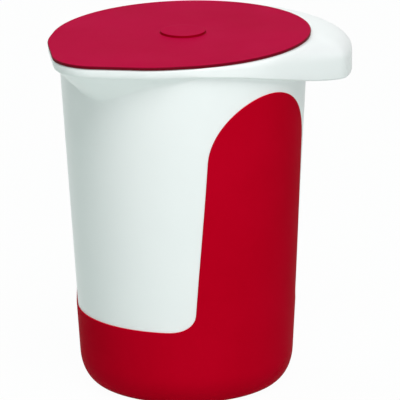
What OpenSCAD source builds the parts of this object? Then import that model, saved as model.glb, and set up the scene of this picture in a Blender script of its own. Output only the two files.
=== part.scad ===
// Pouring beaker with a soft cup and side grips, a broad hollow hand grip at the rim,
// a V-shaped spout opposite it, and a flat lid that presses into the mouth.
// Origin: centre of the base, on the table. +X points to the hand grip, -X to the spout.

/* [Beaker] */
// Height of the rim, where the lid rests
rim_h = 158.2; // [140:0.2:180]
// Radius of the tapered wall, if it ran straight down to the table
wall_r_bottom = 46.3; // [42:0.1:50]
// Radius of the tapered wall at the rim
wall_r_top = 55.4; // [52:0.1:59]
// Thickness of the wall and the floor
wall_t = 2.4; // [2:0.1:3.4]
// How far in from the wall the round corner at the base reaches
base_corner_in = 9.6; // [8:0.1:14]
// How far up the wall that corner reaches
base_corner_up = 15; // [10:0.1:15.5]

/* [Rim] */
// How far the rim stands out from the wall
rim_out = 1.5; // [1:0.1:3]
// Height of the rim band beside the spout
rim_band = 4.4; // [3:0.1:6]
// Radius of the rim's edges
rim_edge_r = 0.9; // [0.4:0.1:1.2]

/* [Spout] */
// Distance from the beaker's axis to the lip of the spout
spout_reach = 70.5; // [66:0.1:76]
// Radius of the lip, seen from above
spout_tip_r = 20.2; // [14:0.1:26]
// Distance from the beaker's axis to the centre of the spout's broad root
spout_root_x = 17.7; // [12:0.1:28]
// Radius of that root, seen from above
spout_root_r = 45.9; // [38:0.1:50]
// How far the spout runs down the wall below the rim band
spout_fall = 15; // [8:0.2:24]
// Half of the angle that the spout takes up on the wall
spout_half = 41; // [30:1:48]
// Rounding of the spout's keel, as an angle on the wall
spout_keel = 7; // [2:0.5:12]

/* [Hand grip] */
// Distance from the beaker's axis to the end of the hand grip
grip_reach = 80.6; // [76:0.2:90]
// Radius of the hand grip's end, seen from above
grip_end_r = 61; // [56:1:70]
// Half of the width across the hand grip's two corners
grip_half_w = 54.8; // [48:0.2:55.8]
// Radius of the hand grip's two corners, seen from above
grip_corner_r = 14.6; // [10:0.2:20]
// Depth of the skirt at the end of the hand grip
grip_skirt = 19.2; // [14:0.2:26]
// Thickness of the skirt
skirt_t = 2.2; // [1.6:0.1:3]
// Height of the rounded shoulder at the end of the hand grip
shoulder_h = 10; // [4:0.1:11]

/* [Soft cup and side grips] */
// Thickness of the soft layer
soft_t = 1.6; // [1.2:0.1:2]
// How far the soft layer stands proud of the wall
soft_proud = 0.6; // [0.2:0.1:0.9]
// Height of the soft cup
cup_h = 35.5; // [25:0.5:50]
// Half of the width of a side grip, just under its round top
side_grip_half = 28.7; // [20:0.1:34]
// How much wider each half is where it meets the cup
side_grip_flare = 1.9; // [0:0.1:4]
// Height of the top of a side grip
side_grip_top = 142; // [120:0.5:146]
// Radius between the cup and a side grip
side_grip_fillet = 8; // [4:0.5:12]
// Radius of the outer groove in the foot
groove_r = 27; // [22:0.5:30]
// Distance from that groove to the inner one
groove_step = 12; // [6:0.5:18]
// Depth of the two grooves
groove_d = 0.5; // [0.3:0.1:0.8]
// Width of the two grooves
groove_w = 2; // [1:0.1:3]

/* [Lid] */
// Thickness of the lid
lid_t = 1.4; // [1.2:0.1:2.4]
// Radius of the lid's upper edge
lid_edge_r = 0.5; // [0.2:0.1:0.6]
// How far the lid's edge slopes in below its top
lid_edge_in = 0.8; // [0:0.1:1]
// How far the lid laps over the mouth at its sides
lid_lap_side = 1.6; // [1:0.1:3]
// How far it laps over the mouth towards the hand grip
lid_lap_back = 5.6; // [3:0.1:8]
// How far its round part laps over the mouth towards the spout
lid_lap_front = 8.7; // [4:0.1:10]
// How far its corner stands out beyond the lip of the spout
lid_tip_out = 0.9; // [0.3:0.1:2]
// Depth of the ring that presses into the mouth
plug_h = 6; // [4:0.5:10]
// Thickness of that ring
plug_t = 1.5; // [1.1:0.1:2]
// Height of the round bead that seals that ring against the mouth
bead_h = 0.6; // [0.3:0.1:0.9]
// Gap left between the bead and the mouth
bead_gap = 0.3; // [0.2:0.05:0.5]
// Diameter of the plain round boss on top
boss_d = 20; // [14:1:40]
// Height of that boss
boss_h = 1; // [0.5:0.1:2]
// Radius of the boss's upper edge
boss_edge_r = 0.4; // [0.1:0.1:0.5]

/* [Hidden] */

$fn = 96;
steps = 144;            // points round a lofted ring
corner_steps = 10;      // steps in the corner between wall and base
over = 1;               // how far a cutter runs past what it cuts
sink = 0.01;            // how far joined pieces of one moulding overlap
skirt_from = -38;       // along X, the skirt starts to deepen here
skirt_to = 56;          // and has its full depth from here on
hollow_from = 18;       // along X, the hollow under the hand grip starts here
channel_gain = 3;       // how soon the spout's channel takes its full width

wall_slope = (wall_r_top - wall_r_bottom) / rim_h;
wall_lean = atan(wall_slope);
mouth_r = wall_r_top - wall_t;
rim_r = wall_r_top + rim_out;
spout_c = spout_reach - spout_tip_r;
grip_c = grip_reach - grip_end_r;
grip_corner_y = grip_half_w - grip_corner_r;
grip_end_half = asin(grip_corner_y / (grip_end_r - grip_corner_r));
grip_corner_x = grip_c + grip_corner_y / tan(grip_end_half);
floor_rise = skirt_t * sqrt(2);

// ---------- Small helpers ----------
function clamp01(t) = min(1, max(0, t));
function ease(t) = let (c = clamp01(t)) c * c * (3 - 2 * c);
function mix(a, b, t) = a + (b - a) * t;
function wrap(n) = n < 0 ? n + 360 : n >= 360 ? n - 360 : n;
function wall_r(z) = wall_r_bottom + wall_slope * z;

// ---------- Outlines seen from above ----------
// Each outline is given by its support: how far it reaches in the direction n.
// The support of a shape drawn round several round pieces is the largest of theirs.
function oval_support(n, side, back, front) =
    norm([(cos(n) > 0 ? back : front) * cos(n), side * sin(n)]);
function spout_support(n, out = 0) =
    out + max(spout_root_r - spout_root_x * cos(n), spout_tip_r - spout_c * cos(n));
function grip_support(n) =
    let (m = min(n, 360 - n))
    max(rim_r, m <= grip_end_half ? grip_c * cos(m) + grip_end_r
                                  : grip_corner_x * cos(m) + grip_corner_y * sin(m) + grip_corner_r);
function lid_support(n) =
    max(oval_support(n, mouth_r + lid_lap_side, mouth_r + lid_lap_back, mouth_r + lid_lap_front),
        spout_support(n, lid_tip_out));

// Radius of each outline at the angle a, once the outline is drawn in by inset.
sweep = [-50:2.5:50];
function spout_r(a, inset) =
    min([for (d = sweep) (spout_support(wrap(a + d)) - inset) / cos(d)]);
function grip_r(a, inset) =
    min([for (d = sweep) (grip_support(wrap(a + d)) - inset) / cos(d)]);
function collar_r(a, inset) =
    min([for (d = sweep) let (n = wrap(a + d))
        (max(spout_support(n), grip_support(n)) - inset) / cos(d)]);
function lid_r(a, inset) =
    min([for (d = sweep) (lid_support(wrap(a + d)) - inset) / cos(d)]);

// ---------- Collar: how rim, hand grip and spout change round the beaker ----------
// 0 at the rim band, 1 at the end of the hand grip.
function gripness(a) = ease((collar_r(a, 0) * cos(a) - skirt_from) / (skirt_to - skirt_from));
function skirt_z(a) = rim_h - mix(rim_band, grip_skirt, gripness(a));
function shoulder_drop(a) = mix(rim_edge_r, shoulder_h, gripness(a));
function shoulder_in(a) =
    mix(rim_edge_r, max(rim_edge_r, collar_r(a, 0) - wall_r_top + wall_t / 2), gripness(a));

// How far the spout has run down the wall at the angle a.
function spout_run(a) =
    spout_fall * max(0, spout_half - norm([180 - wrap(a), spout_keel])) / (spout_half - spout_keel);

// ---------- Loft ----------
// A hollow takes its points half a step on, so that none lies on an edge of what it cuts.
angles = [for (i = [0:steps - 1]) i * 360 / steps];
cut_angles = [for (a = angles) a + 180 / steps];
function ring(r, a, z) = [r * cos(a), r * sin(a), z];

// A closed solid through rings of equal length, lowest first, fanned shut at the axis.
module loft(rings, z_low, z_high) {
    n = steps;
    k = len(rings);
    next = [for (j = [0:n - 1]) (j + 1) % n];
    polyhedron(
        concat([for (r = rings) each r], [[0, 0, z_low], [0, 0, z_high]]),
        concat(
            [for (i = [0:k - 2], j = [0:n - 1]) [i * n + j, (i + 1) * n + j, (i + 1) * n + next[j]]],
            [for (i = [0:k - 2], j = [0:n - 1]) [i * n + j, (i + 1) * n + next[j], i * n + next[j]]],
            [for (j = [0:n - 1]) [k * n, j, next[j]]],
            [for (j = [0:n - 1]) [k * n + 1, (k - 1) * n + next[j], (k - 1) * n + j]]
        ));
}

// ---------- Wall ----------
// The corner at the base is part of an oval that runs into the leaning wall. The angle n
// is the way its surface faces, turned outwards from straight down.
function corner_pull(n) = norm([base_corner_in * sin(n), base_corner_up * cos(n)]);
function corner_x(n) = base_corner_in ^ 2 * sin(n) / corner_pull(n);
function corner_z(n) = base_corner_up - base_corner_up ^ 2 * cos(n) / corner_pull(n);

// Everything inside the soft layer's outer face drawn in by inset, up to the height top.
module wall_solid(inset, top) {
    // The wall's named radii are those of the bare wall, soft_proud inside that face.
    side = (inset - soft_proud) / cos(wall_lean);
    last = 90 - wall_lean;
    axis = wall_r(corner_z(last)) + soft_proud / cos(wall_lean) - corner_x(last);
    corner = [for (i = [0:corner_steps]) let (n = i * last / corner_steps)
        [axis + corner_x(n) - inset * sin(n), corner_z(n) + inset * cos(n)]];
    rotate_extrude()
        polygon(concat([[0, inset]], corner, [[wall_r(top) - side, top], [0, top]]));
}

// ---------- Beaker ----------
// Rim band, spout and hand grip as one solid, without their hollows.
module collar() {
    arc = [0:15:90];
    root_z = [for (a = angles) skirt_z(a) - spout_run(a)];
    rings = concat(
        [[for (j = [0:steps - 1]) ring(wall_r(root_z[j]) - wall_t / 2, angles[j], root_z[j])]],
        [[for (a = angles) ring(collar_r(a, rim_edge_r), a, skirt_z(a))]],
        [for (t = arc) [for (a = angles)
            ring(collar_r(a, shoulder_in(a) * (1 - cos(t))), a,
                 rim_h - shoulder_drop(a) * (1 - sin(t)))]]
    );
    lower = [for (a = angles) ring(collar_r(a, 0), a, skirt_z(a) + rim_edge_r)];
    loft(concat([rings[0], rings[1], lower], [for (i = [2:len(rings) - 1]) rings[i]]),
         rim_h - grip_skirt - spout_fall, rim_h);
}

// The open space under the hand grip.
module grip_hollow() {
    arc = [0:22.5:90];
    rings = concat(
        [[for (a = cut_angles) ring(grip_r(a, skirt_t), a, rim_h - grip_skirt - over)]],
        [for (t = arc) [for (a = cut_angles)
            ring(grip_r(a, shoulder_in(a) * (1 - cos(t)) + skirt_t * cos(t)), a,
                 rim_h - shoulder_drop(a) * (1 - sin(t)) - wall_t * sin(t))]]
    );
    intersection() {
        loft(rings, rim_h - grip_skirt - over, rim_h - wall_t);
        translate([hollow_from, -grip_reach, 0]) cube([grip_reach, 2 * grip_reach, rim_h]);
    }
}

// The channel inside the spout, open at the top and into the mouth.
module spout_channel() {
    inside = mouth_r - over;
    lip_z = rim_h - rim_band + floor_rise - skirt_t;
    function channel_r(a) = mix(inside, spout_r(a, skirt_t), ease(channel_gain * spout_run(a) / spout_fall));
    function floor_z(a) = lip_z - max(rim_edge_r / 2, spout_run(a) - skirt_t);
    loft([
        [for (a = cut_angles) ring(inside, a, floor_z(a))],
        [for (a = cut_angles) ring(channel_r(a), a, lip_z)],
        [for (a = cut_angles) ring(channel_r(a), a, rim_h + over)]
    ], rim_h - rim_band - spout_fall, rim_h + over);
}

module beaker() {
    color("whitesmoke")
    difference() {
        union() {
            difference() {
                collar();
                grip_hollow();
            }
            wall_solid(soft_proud, rim_h);
        }
        wall_solid(soft_proud + wall_t, rim_h + over);
        spout_channel();
        soft_layer(over);
    }
}

// ---------- Soft cup and side grips ----------
// Side view: the cup, and a round-topped side grip that flares into it.
module soft_outline() {
    reach = wall_r_top + over;
    round_z = side_grip_top - side_grip_half;
    foot = side_grip_half + side_grip_flare;
    f = side_grip_fillet;
    translate([-reach, -over]) square([2 * reach, cup_h + over]);
    translate([0, round_z]) circle(side_grip_half);
    polygon([[-foot, 0], [foot, 0], [foot, cup_h], [side_grip_half, round_z],
             [-side_grip_half, round_z], [-foot, cup_h]]);
    for (s = [0, 1]) mirror([s, 0]) difference() {
        translate([side_grip_half, cup_h - sink]) square([side_grip_flare + f, f + sink]);
        translate([foot + f, cup_h + f]) circle(f);
    }
}

// The soft layer, or with past the cutter that makes room for it.
module soft_layer(past = 0) {
    intersection() {
        difference() {
            wall_solid(-past, rim_h - over);
            wall_solid(soft_t, rim_h);
        }
        rotate([90, 0, 0]) translate([0, 0, -grip_reach])
            linear_extrude(2 * grip_reach) soft_outline();
    }
}

module soft_grip() {
    color("#b0101f")
    difference() {
        soft_layer();
        for (r = [groove_r, groove_r - groove_step]) translate([0, 0, -over]) difference() {
            cylinder(r = r + groove_w / 2, h = over + groove_d);
            cylinder(r = r - groove_w / 2, h = over + groove_d);
        }
    }
}

// ---------- Lid ----------
// Nearly round plate, drawn out to a corner over the spout. Its edge is rounded above
// and slopes in below.
module lid_plate() {
    top = rim_h + lid_t;
    function edge(inset, z) = [for (a = angles) ring(lid_r(a, inset), a, z)];
    loft(concat(
        [edge(lid_edge_in, rim_h)],
        [for (t = [0:30:90]) edge(lid_edge_r * (1 - cos(t)), top - lid_edge_r * (1 - sin(t)))]
    ), rim_h, top);
}

// Tapered ring that reaches into the mouth, with a sealing bead near its lower end.
module lid_plug() {
    low = rim_h - plug_h;
    outer = mouth_r - bead_gap - bead_h;
    taper = wall_slope * plug_h;
    bead_z = plug_h / 4;
    rotate_extrude() translate([outer - taper, low]) {
        polygon([[0, 0], [taper, plug_h + sink], [-plug_t, plug_h + sink], [-plug_t, 0]]);
        intersection() {
            translate([wall_slope * bead_z, bead_z]) circle(bead_h);
            translate([-plug_t / 2, 0]) square([plug_t, plug_h]);
        }
    }
}

module lid_boss() {
    e = boss_edge_r;
    rotate_extrude() translate([0, rim_h + lid_t - sink]) {
        square([boss_d / 2, boss_h - e + sink]);
        square([boss_d / 2 - e, boss_h + sink]);
        translate([boss_d / 2 - e, boss_h - e + sink]) intersection() {
            circle(e);
            square(e);
        }
    }
}

module lid() {
    color("#b71b3f") {
        lid_plate();
        lid_plug();
        lid_boss();
    }
}

beaker();
soft_grip();
lid();
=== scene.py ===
"""Lidded pouring beaker: the visual model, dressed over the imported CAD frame.

Sizes are in millimetres, and meshes are written in metres. The sizes are the CAD part's,
apart from a few small departures that are marked "own". The spout points along -X and
the hand grip along +X.
"""
import math

import bpy
import numpy as np
from mathutils import Matrix, Vector


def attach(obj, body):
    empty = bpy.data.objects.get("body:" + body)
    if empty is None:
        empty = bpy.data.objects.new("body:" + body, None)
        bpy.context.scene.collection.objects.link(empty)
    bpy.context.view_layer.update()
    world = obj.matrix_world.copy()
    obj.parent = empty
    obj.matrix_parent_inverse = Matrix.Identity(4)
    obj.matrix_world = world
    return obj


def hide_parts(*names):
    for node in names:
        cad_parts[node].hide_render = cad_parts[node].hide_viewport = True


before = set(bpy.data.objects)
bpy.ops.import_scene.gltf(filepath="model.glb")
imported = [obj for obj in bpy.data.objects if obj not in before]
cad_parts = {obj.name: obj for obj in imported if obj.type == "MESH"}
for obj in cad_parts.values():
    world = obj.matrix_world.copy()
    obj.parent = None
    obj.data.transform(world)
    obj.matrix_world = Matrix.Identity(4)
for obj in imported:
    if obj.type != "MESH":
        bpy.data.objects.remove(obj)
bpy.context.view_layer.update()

# ---------------------------------------------------------------- sizes (mm)
# wall: outer radius at the base and at the rim, and the oval corner at the base
RIM_H, WALL_R0, WALL_R1, WALL_T = 158.2, 46.3, 55.4, 2.4
CORNER_IN, CORNER_UP = 9.6, 15.0
# rim band round the mouth
RIM_OUT, RIM_BAND, RIM_EDGE = 1.5, 4.4, 0.9
# spout; own: it falls 1 mm less, its keel is softer, and its lip stands LIP_OUT further out
SPOUT_REACH, SPOUT_TIP_R, SPOUT_ROOT_X, SPOUT_ROOT_R = 70.5, 20.2, 17.7, 45.9
SPOUT_FALL, SPOUT_HALF, SPOUT_KEEL, LIP_OUT = 14.0, 41.0, 10.5, 0.6
# hand grip: its outline, its skirt and rounded shoulder, and where along X they begin
GRIP_REACH, GRIP_END_R, GRIP_HALF_W, GRIP_CORNER_R = 80.6, 61.0, 54.8, 14.6
GRIP_SKIRT, SKIRT_T, SHOULDER_H = 19.2, 2.2, 10.0
SKIRT_FROM, SKIRT_TO, HOLLOW_FROM = -38.0, 56.0, 18.0
# soft cup, side grips and the grooves in the foot
SOFT_PROUD, CUP_H = 0.6, 35.5
SIDE_HALF, SIDE_FLARE, SIDE_TOP, SIDE_FILLET = 28.7, 1.9, 142.0, 8.0
GROOVE_R, GROOVE_STEP, GROOVE_D, GROOVE_W = 27.0, 12.0, 0.5, 2.0
# lid plate, the ring and bead under it, and the disc on it; own: LID_IN and BOSS_EDGE
LID_T, LID_EDGE, LID_IN = 1.4, 0.5, 0.15
LAP_SIDE, LAP_BACK, LAP_FRONT, TIP_OUT = 1.6, 5.6, 8.7, 0.9
PLUG_H, PLUG_T, BEAD_H, BEAD_GAP = 6.0, 1.5, 0.6, 0.3
BOSS_R, BOSS_H, BOSS_EDGE = 10.0, 1.0, 0.2

MM = 0.001
SLOPE = (WALL_R1 - WALL_R0) / RIM_H
LEAN = math.atan(SLOPE)
MOUTH_R = WALL_R1 - WALL_T
RIM_R = WALL_R1 + RIM_OUT
SPOUT_C = SPOUT_REACH - SPOUT_TIP_R
GRIP_C = GRIP_REACH - GRIP_END_R
GRIP_CORNER_Y = GRIP_HALF_W - GRIP_CORNER_R
GRIP_END_HALF = math.asin(GRIP_CORNER_Y / (GRIP_END_R - GRIP_CORNER_R))
GRIP_CORNER_X = GRIP_C + GRIP_CORNER_Y / math.tan(GRIP_END_HALF)
FULL_TURN = 2 * math.pi
CORNER_TURN = math.pi / 2 - LEAN                 # how far the surface turns round the base corner


# ---------------------------------------------------------------- outlines
def wall_r(z):
    return WALL_R0 + SLOPE * z


def base_corner(n, inset):
    """Radius and height on the oval corner at the base, drawn in by inset.

    n is the way the surface faces there, turned outwards from straight down.
    """
    def oval_at(n):
        pull = math.hypot(CORNER_IN * math.sin(n), CORNER_UP * math.cos(n))
        return CORNER_IN ** 2 * math.sin(n) / pull, CORNER_UP - CORNER_UP ** 2 * math.cos(n) / pull

    last_x, last_z = oval_at(CORNER_TURN)
    axis = wall_r(last_z) + SOFT_PROUD / math.cos(LEAN) - last_x
    x, z = oval_at(n)
    return axis + x - inset * math.sin(n), z + inset * math.cos(n)


def ease(t):
    """Smooth step from 0 to 1."""
    t = np.clip(t, 0.0, 1.0)
    return t * t * (3 - 2 * t)


def mix(a, b, t):
    return a + (b - a) * t


# A support function gives, for each direction n, how far the outline reaches that way.
def oval(n, side, back, front):
    c = np.cos(n)
    return np.hypot(np.where(c > 0, back, front) * c, side * np.sin(n))


def spout_support(n, out=0.0):
    c = np.cos(n)
    return out + np.maximum(SPOUT_ROOT_R - SPOUT_ROOT_X * c, SPOUT_TIP_R - SPOUT_C * c)


def grip_support(n):
    m = np.abs((n + math.pi) % FULL_TURN - math.pi)
    end = GRIP_C * np.cos(m) + GRIP_END_R
    corner = GRIP_CORNER_X * np.cos(m) + GRIP_CORNER_Y * np.sin(m) + GRIP_CORNER_R
    return np.maximum(RIM_R, np.where(m <= GRIP_END_HALF, end, corner))


def collar_support(n):
    return np.maximum(spout_support(n, LIP_OUT), grip_support(n))


def lid_support(n):
    body = oval(n, MOUTH_R + LAP_SIDE, MOUTH_R + LAP_BACK, MOUTH_R + LAP_FRONT)
    return np.maximum(body, spout_support(n, TIP_OUT))


SWEEP = np.radians(np.arange(-55.0, 55.01, 0.5))    # tangents that can touch the outline at one angle


def reach(support, a, inset=0.0):
    """Radius at each angle a of the outline with this support, drawn in by inset."""
    n = a[:, None] + SWEEP[None, :]
    inset = np.broadcast_to(np.asarray(inset, float), a.shape)
    return ((support(n) - inset[:, None]) / np.cos(SWEEP)[None, :]).min(1)


# ---------------------------------------------------------------- mesh helpers
def place(name, rows, body, node, material, closed=False):
    """A solid from rows of points that run round it. rows is (count, columns, 3) in mm.

    The first and last rows are drawn shut at a point on the axis. With closed, the last
    row joins the first instead.
    """
    rows = np.asarray(rows, float) * MM
    count, n = rows.shape[:2]
    verts = [tuple(p) for p in rows.reshape(-1, 3)]
    faces = []
    for i in range(count if closed else count - 1):
        p, q = i * n, ((i + 1) % count) * n
        for j in range(n):
            after = (j + 1) % n
            faces.append((p + j, p + after, q + after, q + j))
    if not closed:
        for row, turn in ((0, True), (count - 1, False)):
            centre = len(verts)
            verts.append((0.0, 0.0, rows[row, :, 2].mean()))
            for j in range(n):
                a, b = row * n + j, row * n + (j + 1) % n
                faces.append((centre, b, a) if turn else (centre, a, b))
    mesh = bpy.data.meshes.new(name)
    mesh.from_pydata(verts, [], faces)
    mesh.validate()
    mesh.update()
    obj = bpy.data.objects.new(name, mesh)
    bpy.context.scene.collection.objects.link(obj)
    mesh.polygons.foreach_set("use_smooth", [True] * len(mesh.polygons))
    mesh.materials.append(material)
    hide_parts(node)
    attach(obj, body)
    return obj


def ring(r, a, z):
    """Points at angles a, radius r and height z; r and z may vary round the ring."""
    r = np.broadcast_to(np.asarray(r, float), a.shape)
    z = np.broadcast_to(np.asarray(z, float), a.shape)
    return np.stack([r * np.cos(a), r * np.sin(a), z], 1)


def quarter(steps):
    """Angles from 0 to a right angle."""
    return [math.pi / 2 * i / steps for i in range(steps + 1)]


# ---------------------------------------------------------------- materials
def new_material(name):
    m = bpy.data.materials.new(name)
    m.use_nodes = True
    nt = m.node_tree
    return m, nt, nt.nodes["Principled BSDF"]


def node(nt, kind, **values):
    n = nt.nodes.new(kind)
    for key, value in values.items():
        if key in n.inputs:
            n.inputs[key].default_value = value
        else:
            setattr(n, key, value)
    return n


def srgb(r, g, b):
    def lin(c):
        c /= 255.0
        return c / 12.92 if c <= 0.04045 else ((c + 0.055) / 1.055) ** 2.4
    return (lin(r), lin(g), lin(b), 1.0)


def tinted(nt, bsdf, tone_a, tone_b, scale):
    """Base colour that drifts a little between two tones, as a moulding's does."""
    coord = node(nt, "ShaderNodeTexCoord")
    cloud = node(nt, "ShaderNodeTexNoise", Scale=scale, Detail=3.0, Roughness=0.5)
    ramp = nt.nodes.new("ShaderNodeValToRGB")
    for stop, position, tone in zip(ramp.color_ramp.elements, (0.35, 0.65), (tone_a, tone_b)):
        stop.position = position
        stop.color = srgb(*tone)
    nt.links.new(coord.outputs["Object"], cloud.inputs["Vector"])
    nt.links.new(cloud.outputs["Fac"], ramp.inputs["Fac"])
    nt.links.new(ramp.outputs["Color"], bsdf.inputs["Base Color"])
    return coord


def roughened(nt, bsdf, coord, scale, lo, hi):
    """Roughness that wanders between lo and hi."""
    grain = node(nt, "ShaderNodeTexNoise", Scale=scale, Detail=5.0, Roughness=0.6)
    span = nt.nodes.new("ShaderNodeMapRange")
    span.inputs["To Min"].default_value = lo
    span.inputs["To Max"].default_value = hi
    nt.links.new(coord.outputs["Object"], grain.inputs["Vector"])
    nt.links.new(grain.outputs["Fac"], span.inputs["Value"])
    nt.links.new(span.outputs["Result"], bsdf.inputs["Roughness"])


def bumped(nt, bsdf, coord, layers):
    """Bumps in layers of (scale, strength, distance in metres), fine to coarse."""
    previous = None
    for scale, strength, distance in layers:
        grain = node(nt, "ShaderNodeTexNoise", Scale=scale, Detail=2.0, Roughness=0.5)
        nt.links.new(coord.outputs["Object"], grain.inputs["Vector"])
        bump = node(nt, "ShaderNodeBump", Strength=strength, Distance=distance)
        nt.links.new(grain.outputs["Fac"], bump.inputs["Height"])
        if previous is not None:
            nt.links.new(previous.outputs["Normal"], bump.inputs["Normal"])
        previous = bump
    nt.links.new(previous.outputs["Normal"], bsdf.inputs["Normal"])


def plastic(name, tones, drift, gloss, bumps, specular, ior):
    """tones: two sRGB tones; drift: their scale; gloss: (scale, lowest, highest) roughness."""
    material, nt, bsdf = new_material(name)
    coord = tinted(nt, bsdf, *tones, drift)
    roughened(nt, bsdf, coord, *gloss)
    bumped(nt, bsdf, coord, bumps)
    bsdf.inputs["Specular IOR Level"].default_value = specular
    bsdf.inputs["IOR"].default_value = ior
    return material


# Glossy white polypropylene.
white = plastic("white_polypropylene", ((238, 240, 241), (241, 242, 243)), 14.0, (60.0, 0.28, 0.32),
                [(900.0, 0.05, 0.00005), (26.0, 0.06, 0.0004)], specular=0.4, ior=1.49)
# Soft red elastomer: satin, with the fine spark-eroded grain of its mould.
soft = plastic("red_elastomer", ((181, 0, 28), (187, 1, 32)), 18.0, (90.0, 0.46, 0.56),
               [(2600.0, 0.16, 0.00006), (40.0, 0.05, 0.0003)], specular=0.02, ior=1.2)
# Crimson flexible lid: satin, faintly wavy, as a thin moulded plate is.
LID_GRAIN = (2200.0, 0.14, 0.00006)
crimson = plastic("crimson_lid_plastic", ((173, 6, 54), (179, 9, 60)), 22.0, (70.0, 0.42, 0.54),
                  [LID_GRAIN, (34.0, 0.08, 0.0004)], specular=0.02, ior=1.2)
# The lid's edge, and its underside out past the ring: the same plastic darkened, as painted shade standing in for the
# shade under the lid's edge.
lid_edge_shade = plastic("crimson_lid_edge_painted_shade", ((102, 2, 22), (110, 3, 26)), 22.0, (70.0, 0.46, 0.58),
               [LID_GRAIN], specular=0.2, ior=1.2)
# The side of the raised disc on the lid: the same plastic darkened to between the two, as painted shade on the disc's
# edge.
disc_side_shade = plastic("crimson_disc_side_painted_shade", ((134, 0, 18), (142, 1, 22)), 22.0, (70.0, 0.46, 0.58),
                    [LID_GRAIN], specular=0.05, ior=1.2)


# ---------------------------------------------------------------- beaker
def build_beaker():
    n = 432
    a = np.arange(n) * FULL_TURN / n
    lip_r = 0.6                                                  # rounding of the mouth's inner edge
    skirt_edge = 0.5                                             # rounding of the skirt's inner edge
    band_up, band_in = 3.0, 1.1                                  # own: rounding under the band at the spout
    keel_blend, side_blend, hollow_blend = 0.7, 3.0, 1.4         # own: fillets where the collar meets the wall

    # how each part of the collar comes in and goes out round the mouth, from 0 to 1
    outer = reach(collar_support, a)
    off = np.degrees(np.abs(a - math.pi))                        # angle from the spout's keel
    run = SPOUT_FALL * np.maximum(0, SPOUT_HALF - np.hypot(off, SPOUT_KEEL)) / (SPOUT_HALF - SPOUT_KEEL)
    spout = ease(run / SPOUT_FALL * 2.2)
    near = 1 - ease((off - 38.0) / 20.0)                         # the spout and a little beside it
    beside = near * ease((off - 22.0) / 12.0)                    # where the spout fades into the wall
    grip = ease((outer * np.cos(a) - SKIRT_FROM) / (SKIRT_TO - SKIRT_FROM))
    hollow = ease((outer * np.cos(a) - HOLLOW_FROM - 1.0) / 9.0)

    # heights and widths round the collar
    skirt = RIM_H - mix(RIM_BAND, GRIP_SKIRT, grip)              # its lower edge
    drop = mix(RIM_EDGE, SHOULDER_H, grip)                       # its shoulder, down
    width = mix(RIM_EDGE, np.maximum(RIM_EDGE, outer - WALL_R1 + WALL_T / 2), grip)    # and across
    under = skirt - np.maximum(run, 3.0 * near)                  # where the underside meets the wall

    def inner_r(z):
        return wall_r(z) - WALL_T

    rows = []
    # inside: floor, round corner, wall
    floor_r, floor_z = base_corner(0.0, SOFT_PROUD + WALL_T)
    for f in (0.25, 0.5, 0.75, 0.95):
        rows.append(ring(floor_r * f, a, floor_z))
    for turn in np.linspace(0, CORNER_TURN, 13):
        r, z = base_corner(turn, SOFT_PROUD + WALL_T)
        rows.append(ring(r, a, z))
    for z in np.linspace(20, 128, 13):
        rows.append(ring(inner_r(z), a, z))

    # inside of the spout: it leaves the wall, runs out and up, and ends in the lip
    lip_z = RIM_H - RIM_BAND + SKIRT_T * (math.sqrt(2) - 1)
    channel = reach(spout_support, a, SKIRT_T)
    open_out = mix(inner_r(RIM_H), np.maximum(channel, inner_r(RIM_H)), spout)
    foot = lip_z - np.maximum(0.45, run - SKIRT_T)
    for f in (0.0, 0.04, 0.12, 0.3, 0.5, 0.7, 0.86, 0.95, 1.0):
        z = mix(foot, lip_z, f)
        rows.append(ring(mix(inner_r(z), mix(inner_r(foot), open_out, f), spout), a, z))
    for f in (0.35, 0.7):
        r = mix(mix(inner_r(lip_z), inner_r(RIM_H), f), open_out, spout)
        rows.append(ring(r, a, mix(lip_z, RIM_H - lip_r, f)))
    for t in quarter(4):
        rows.append(ring(open_out + lip_r * (1 - math.cos(t)), a, RIM_H - lip_r * (1 - math.sin(t))))

    # top, out to the rounded shoulder
    flat = np.maximum(reach(collar_support, a, width), open_out + lip_r + 0.15)
    for f in (0.5, 1.0):
        rows.append(ring(mix(open_out + lip_r, flat, f), a, RIM_H))
    for t in quarter(14)[1:]:
        r = reach(collar_support, a, width * (1 - math.sin(t)))
        rows.append(ring(np.maximum(r, flat), a, RIM_H - drop * (1 - math.cos(t))))

    # skirt's outer face and lower edge
    round_in = mix(RIM_EDGE, band_in, near)
    round_up = mix(RIM_EDGE, band_up, near)
    shoulder_z = RIM_H - drop
    for f in (0.3, 0.6, 1.0):
        rows.append(ring(outer, a, mix(shoulder_z, skirt + round_up, f)))
    for t in quarter(6)[1:]:
        r = reach(collar_support, a, round_in * (1 - math.cos(t)))
        rows.append(ring(r, a, skirt + round_up * (1 - math.sin(t))))

    # underside: up into the hand grip's hollow, or straight in to the wall
    inside = []                                                  # inset and height up the hollow
    for t in quarter(3):
        inside.append((SKIRT_T - skirt_edge * (1 - math.sin(t)), skirt + skirt_edge * (1 - math.cos(t))))
    inside.append((SKIRT_T, mix(skirt, shoulder_z, 0.5)))
    for t in quarter(10):
        inside.append((width * (1 - math.cos(t)) + SKIRT_T * math.cos(t), shoulder_z + (drop - WALL_T) * math.sin(t)))
    wall_at = wall_r(under)
    start_r = reach(collar_support, a, round_in)
    most = mix(0.45 * (start_r - wall_at), hollow_blend, hollow)
    blend_r = np.minimum(mix(keel_blend, side_blend, beside), most)
    for i, (inset, z) in enumerate(inside):
        f = (i + 1) / (len(inside) + 1)
        r_hollow = np.maximum(reach(collar_support, a, inset), wall_r(z) + blend_r)
        r_straight = mix(start_r, wall_at + blend_r, f)
        z_straight = mix(skirt, under, f * (start_r - wall_at - blend_r) / (start_r - wall_at))
        rows.append(ring(mix(r_straight, r_hollow, hollow), a, mix(z_straight, z, hollow)))

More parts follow.
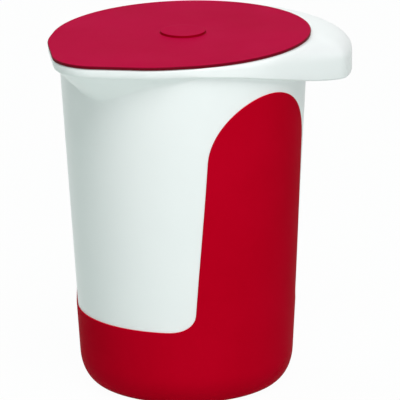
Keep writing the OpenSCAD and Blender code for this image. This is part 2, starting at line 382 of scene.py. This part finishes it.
    # small fillet into the wall, on a curve that leaves the underside along its own slope
    meet = mix(under, RIM_H - WALL_T, hollow)
    slope = (skirt - under) / (start_r - wall_at) * (1 - hollow)
    blend_z = blend_r * np.hypot(1.0, slope)
    for t in np.linspace(0, 1, 6):
        r = mix(mix(wall_r(meet) + blend_r, wall_r(meet), t), mix(wall_r(meet), wall_r(meet - blend_z), t), t)
        z = mix(mix(meet + slope * blend_r, meet, t), mix(meet, meet - blend_z, t), t)
        rows.append(ring(r, a, z))

    # outside wall, round corner, underside
    for f in np.linspace(0, 1, 15)[1:-1]:
        z = mix(meet - blend_z, CORNER_UP, f)
        rows.append(ring(wall_r(z), a, z))
    for turn in np.linspace(CORNER_TURN, 0, 13):
        r, z = base_corner(turn, SOFT_PROUD)
        rows.append(ring(r, a, z))
    for f in (0.8, 0.5, 0.2):
        rows.append(ring(r * f, a, SOFT_PROUD))
    place("beaker_body", rows, "beaker", "beaker", white)


# ---------------------------------------------------------------- soft cup and side grips
def soft_border():
    """The border of the soft layer, once round the beaker: angle and height of each point."""
    foot = SIDE_HALF + SIDE_FLARE
    fillet_x, fillet_z = foot + SIDE_FILLET, CUP_H + SIDE_FILLET
    arch_z = SIDE_TOP - SIDE_HALF
    pts = []                                                     # x and z, seen from one side
    for t in np.linspace(0, math.acos(fillet_x / wall_r(CUP_H)), 60, endpoint=False):
        pts.append((wall_r(CUP_H) * math.cos(t), CUP_H))
    for t in np.linspace(0, math.pi / 2, 20, endpoint=False):
        pts.append((fillet_x - SIDE_FILLET * math.sin(t), fillet_z - SIDE_FILLET * math.cos(t)))
    for f in np.linspace(0, 1, 100, endpoint=False):
        pts.append((mix(foot, SIDE_HALF, mix(f, ease(f), 0.35)), mix(fillet_z, arch_z, f)))
    for t in np.linspace(0, math.pi / 2, 66, endpoint=False):
        pts.append((SIDE_HALF * math.cos(t), arch_z + SIDE_HALF * math.sin(t)))
    x, z = np.array(pts).T

    # from +X to the flank's middle, then mirrored to -X, then the other flank
    a = np.append(np.arccos(np.clip(x / wall_r(z), -1, 1)), math.pi / 2)
    z = np.append(z, SIDE_TOP)
    a = np.concatenate([a, math.pi - a[::-1][1:]])[:-1]
    z = np.concatenate([z, z[::-1][1:]])[:-1]
    a, z = np.concatenate([a, a + math.pi]), np.concatenate([z, z])
    for _ in range(6):                                           # smooth the joins between its pieces
        a = np.unwrap(a)
        before, after = np.roll(a, 1), np.roll(a, -1)
        before[0] -= FULL_TURN
        after[-1] += FULL_TURN
        a = 0.25 * before + 0.5 * a + 0.25 * after
        z = 0.25 * np.roll(z, 1) + 0.5 * z + 0.25 * np.roll(z, -1)
    return a, z


def unwrapped_like(a, reference):
    """a with no jump in it, in the same turn as reference."""
    a = np.unwrap(a)
    return a + FULL_TURN * round((reference[0] - a[0]) / FULL_TURN)


def build_soft():
    a, z = soft_border()
    edge_r = 0.4                                                 # rounding of its edge
    sunk = 0.25                                                  # its edge sits this deep in the wall

    def surface(a, z, out):
        """Points on the wall's cone, out mm proud of it, square to it."""
        return ring(wall_r(z) + out * math.cos(LEAN), a, z - out * math.sin(LEAN))

    border = surface(a, z, 0.0)
    tangent = np.roll(border, -1, 0) - np.roll(border, 1, 0)
    tangent /= np.linalg.norm(tangent, axis=1)[:, None]
    inward = np.cross(tangent, ring(math.cos(LEAN), a, -math.sin(LEAN)))
    if inward[:, 2].mean() > 0:
        inward = -inward

    def shifted(d):
        """The border moved d mm into the soft layer, along the wall."""
        q = border + inward * d
        return np.unwrap(np.arctan2(q[:, 1], q[:, 0])), q[:, 2]

    outer = [surface(a, z, -sunk), border]
    for t in quarter(4):
        moved_a, moved_z = shifted(edge_r * (1 - math.cos(t)))
        outer.append(surface(moved_a, moved_z, SOFT_PROUD - edge_r * (1 - math.sin(t))))
    for d in (0.7, 1.1):
        moved_a, moved_z = shifted(d)
        outer.append(surface(moved_a, moved_z, SOFT_PROUD))
    for f in np.linspace(0, 1, 19)[1:]:
        outer.append(surface(moved_a, mix(moved_z, CORNER_UP, f), SOFT_PROUD))
    for turn in np.linspace(CORNER_TURN, 0, 17):
        r, h = base_corner(turn, 0.0)
        outer.append(ring(r, moved_a, h))
    # the two grooves in the foot, from their outer edge in
    half = GROOVE_W / 2
    profile = [(half + 0.5, 0), (half + 0.15, 0), (half, 0.12), (half - 0.1, GROOVE_D - 0.1), (half - 0.3, GROOVE_D)]
    profile += [(-x, h) for x, h in reversed(profile)]
    for r in (GROOVE_R, GROOVE_R - GROOVE_STEP):
        for x, h in profile:
            outer.append(ring(r + x, moved_a, h))
    outer.append(ring(8.0, moved_a, 0.0))

    # inner face, against the wall
    inner = [ring(r, moved_a, SOFT_PROUD + sunk) for r in (8.0, 22.0)]
    for turn in np.linspace(0, CORNER_TURN, 9):
        r, h = base_corner(turn, SOFT_PROUD + sunk)
        inner.append(ring(r, moved_a, h))
    for f in np.linspace(0, 1, 9)[1:-1]:
        inner.append(surface(mix(moved_a, unwrapped_like(a, moved_a), f), mix(CORNER_UP, z, f), -sunk))
    # one closed strip: the outer face from the border to the middle of the foot, then back inside
    place("soft_cup_and_grips", outer + inner, "beaker", "soft_grip", soft, closed=True)


# ---------------------------------------------------------------- lid
def build_lid():
    n = 360
    a = np.arange(n) * FULL_TURN / n
    top = RIM_H + LID_T
    disc_foot = 0.3                                              # fillet at the foot of the disc
    low_edge = 0.15                                              # rounding of the plate's lower edge
    root = MOUTH_R - BEAD_GAP - BEAD_H                           # outer radius of the ring under the plate
    low = RIM_H - PLUG_H                                         # and its lower edge
    bead_z = low + PLUG_H / 4

    # the disc, then the plate's top and edge
    rows = [ring((BOSS_R - BOSS_EDGE) * f, a, top + BOSS_H) for f in (0.3, 0.6, 0.85)]
    for t in quarter(4):
        rows.append(ring(BOSS_R - BOSS_EDGE * (1 - math.sin(t)), a, top + BOSS_H - BOSS_EDGE * (1 - math.cos(t))))
    for t in quarter(3):
        rows.append(ring(BOSS_R + disc_foot * (1 - math.cos(t)), a, top + disc_foot * (1 - math.sin(t))))
    rim = reach(lid_support, a, LID_EDGE)
    for f in (0.05, 0.15, 0.3, 0.45, 0.6, 0.75, 0.88, 0.96, 0.99):
        rows.append(ring(mix(BOSS_R + disc_foot, rim, f), a, top))
    for t in quarter(6):
        r = reach(lid_support, a, LID_EDGE * (1 - math.sin(t)))
        rows.append(ring(r, a, top - LID_EDGE * (1 - math.cos(t))))
    for f in (0.5, 0.9):
        rows.append(ring(reach(lid_support, a, LID_IN * f), a, mix(top - LID_EDGE, RIM_H, f)))

    # underside, in to the ring
    edge = reach(lid_support, a, LID_IN + low_edge)
    for f in (0.0, 0.1, 0.5, 0.9):
        rows.append(ring(mix(edge, root + 0.4, f), a, RIM_H))

    def ring_side(z):
        return root - SLOPE * (RIM_H - z)

    # the ring's outer side with its bead, its lower edge and its inner side
    for z in (RIM_H - 0.4, bead_z + BEAD_H + 0.3):
        rows.append(ring(ring_side(z), a, z))
    for t in np.linspace(0, math.pi, 9):
        z = bead_z + BEAD_H * math.cos(t)
        rows.append(ring(ring_side(z) + BEAD_H * math.sin(t), a, z))
    rows.append(ring(ring_side(low + 0.4), a, low + 0.4))
    rows.append(ring(ring_side(low) - 0.3, a, low))
    rows.append(ring(ring_side(low) - PLUG_T + 0.3, a, low))
    rows.append(ring(ring_side(low) - PLUG_T, a, low + 0.4))
    for t in quarter(3):
        r = ring_side(low) - PLUG_T - 0.5 * (1 - math.cos(t))
        rows.append(ring(r, a, RIM_H - 0.5 * (1 - math.sin(t))))
    for f in (0.85, 0.5, 0.2):
        rows.append(ring((root - PLUG_T - 0.9) * f, a, RIM_H))

    lid = place("lid_plate", rows, "lid", "lid", crimson)
    lid.data.materials.append(lid_edge_shade)
    lid.data.materials.append(disc_side_shade)
    # painted shade: faces on the lid's edge and on its underside out past the ring take the darkened copy of the lid
    # plastic
    for face in lid.data.polygons:
        out, z = math.hypot(face.center.x, face.center.y) / MM, face.center.z / MM
        if z < top - 0.1 and out > root:
            face.material_index = 1
        # painted shade: the raised disc's side takes the half-darkened copy of the lid plastic
        elif top + 0.02 < z < top + BOSS_H - 0.02:
            face.material_index = 2


build_beaker()
build_soft()
build_lid()


# ---------------------------------------------------------------- floor, backdrop and world
def shown_white(nt, lit, plain, output, share=1.0):
    """What the camera, gloss and glass see is plain; everything else gets lit."""
    path = nt.nodes.new("ShaderNodeLightPath")
    seen = path.outputs["Is Camera Ray"]
    for ray in ("Is Glossy Ray", "Is Transmission Ray"):
        either = node(nt, "ShaderNodeMath", operation="MAXIMUM")
        nt.links.new(seen, either.inputs[0])
        nt.links.new(path.outputs[ray], either.inputs[1])
        seen = either.outputs[0]
    part = node(nt, "ShaderNodeMath", operation="MULTIPLY")
    part.inputs[1].default_value = share
    nt.links.new(seen, part.inputs[0])
    both = nt.nodes.new("ShaderNodeMixShader")
    nt.links.new(part.outputs[0], both.inputs["Fac"])
    nt.links.new(lit.outputs[0], both.inputs[1])
    nt.links.new(plain.outputs[0], both.inputs[2])
    nt.links.new(both.outputs[0], output.inputs["Surface"])


def white_light(nt, kind):
    light = node(nt, kind, Strength=1.0)
    light.inputs["Color"].default_value = (1, 1, 1, 1)
    return light


FLOOR_HALF = 12.0                                # metres
FLOOR_Z = -0.0002                                # metres, just clear of the foot, so the two never flicker

pale, nt, bsdf = new_material("pale_floor")
bsdf.inputs["Base Color"].default_value = (0.60, 0.69, 0.655, 1)
bsdf.inputs["Roughness"].default_value = 0.9
bsdf.inputs["Specular IOR Level"].default_value = 0.1
# The share below 1 lets the object's shadow show.
shown_white(nt, bsdf, white_light(nt, "ShaderNodeEmission"), nt.nodes["Material Output"], share=0.97)
pale.cycles.emission_sampling = "NONE"           # it shows white but lights nothing

mesh = bpy.data.meshes.new("floor")
mesh.from_pydata([(x * FLOOR_HALF, y * FLOOR_HALF, FLOOR_Z) for x, y in ((-1, -1), (1, -1), (1, 1), (-1, 1))],
                 [], [(0, 1, 2, 3)])
mesh.materials.append(pale)
floor = bpy.data.objects.new("floor", mesh)
bpy.context.scene.collection.objects.link(floor)

world = bpy.data.worlds.new("studio")
bpy.context.scene.world = world
world.use_nodes = True
nt = world.node_tree
sky = nt.nodes["Background"]
sky.inputs["Color"].default_value = (0.85, 1.0, 0.94, 1)
sky.inputs["Strength"].default_value = 0.14
shown_white(nt, sky, white_light(nt, "ShaderNodeBackground"), nt.nodes["World Output"])

# ---------------------------------------------------------------- lamps
AZIMUTH, ELEVATION = math.radians(-43.9), math.radians(16.63)    # of the camera
LAMP_AIM = Vector((0, 0, 0.09))                  # metres
LAMP_AWAY, LAMP_SIZE = 1.8, 0.9                  # metres


def direction(azimuth, elevation):
    return Vector((math.sin(azimuth) * math.cos(elevation), -math.cos(azimuth) * math.cos(elevation),
                   math.sin(elevation)))


def softbox(name, azimuth, elevation, power, colour=(1, 1, 1)):
    """A square soft light that faces the object; azimuth is from the camera, to its right."""
    towards = direction(AZIMUTH + math.radians(azimuth), math.radians(elevation))
    lamp = bpy.data.lights.new(name, "AREA")
    lamp.shape = "SQUARE"
    lamp.size = LAMP_SIZE
    lamp.energy = power
    lamp.color = colour
    obj = bpy.data.objects.new(name, lamp)
    bpy.context.scene.collection.objects.link(obj)
    obj.location = LAMP_AIM + towards * LAMP_AWAY
    obj.rotation_euler = towards.to_track_quat("Z", "Y").to_euler()


softbox("key", 12, 60, 22.3)
softbox("low_fill", 10, 15, 10.2)
softbox("behind_left", -135, 45, 11.5, (0.84, 1.0, 0.94))
softbox("right", 90, 45, 1.6)

# ---------------------------------------------------------------- camera
SCALE = 2243.7                                   # pixels per metre at the object
DISTANCE, ROLL = 2.5, 0.0118                     # metres, radians
FRAME, SENSOR = 400.0, 36.0                      # picture's width in pixels, and in millimetres on the sensor
TARGET = Vector((0, 0, 0.080))                   # metres
AIM_RIGHT, AIM_UP = 15.1, 5.0                    # pixels from the target to the picture's middle

back = direction(AZIMUTH, ELEVATION)
right = Vector((math.cos(AZIMUTH), math.sin(AZIMUTH), 0.0))
up = back.cross(right)
rolled_right = right * math.cos(ROLL) - up * math.sin(ROLL)
rolled_up = right * math.sin(ROLL) + up * math.cos(ROLL)
eye = TARGET + back * DISTANCE
z = (eye - TARGET - rolled_right * (AIM_RIGHT / SCALE) - rolled_up * (AIM_UP / SCALE)).normalized()
x = rolled_up.cross(z).normalized()
y = z.cross(x)
lens = bpy.data.cameras.new("camera")
lens.sensor_width = SENSOR
lens.lens = SCALE * DISTANCE / FRAME * SENSOR
lens.clip_end = 60.0
camera = bpy.data.objects.new("camera", lens)
bpy.context.scene.collection.objects.link(camera)
camera.matrix_world = Matrix(((x.x, y.x, z.x, eye.x), (x.y, y.y, z.y, eye.y), (x.z, y.z, z.z, eye.z), (0, 0, 0, 1)))
bpy.context.scene.camera = camera
bpy.context.scene.view_settings.view_transform = "Standard"
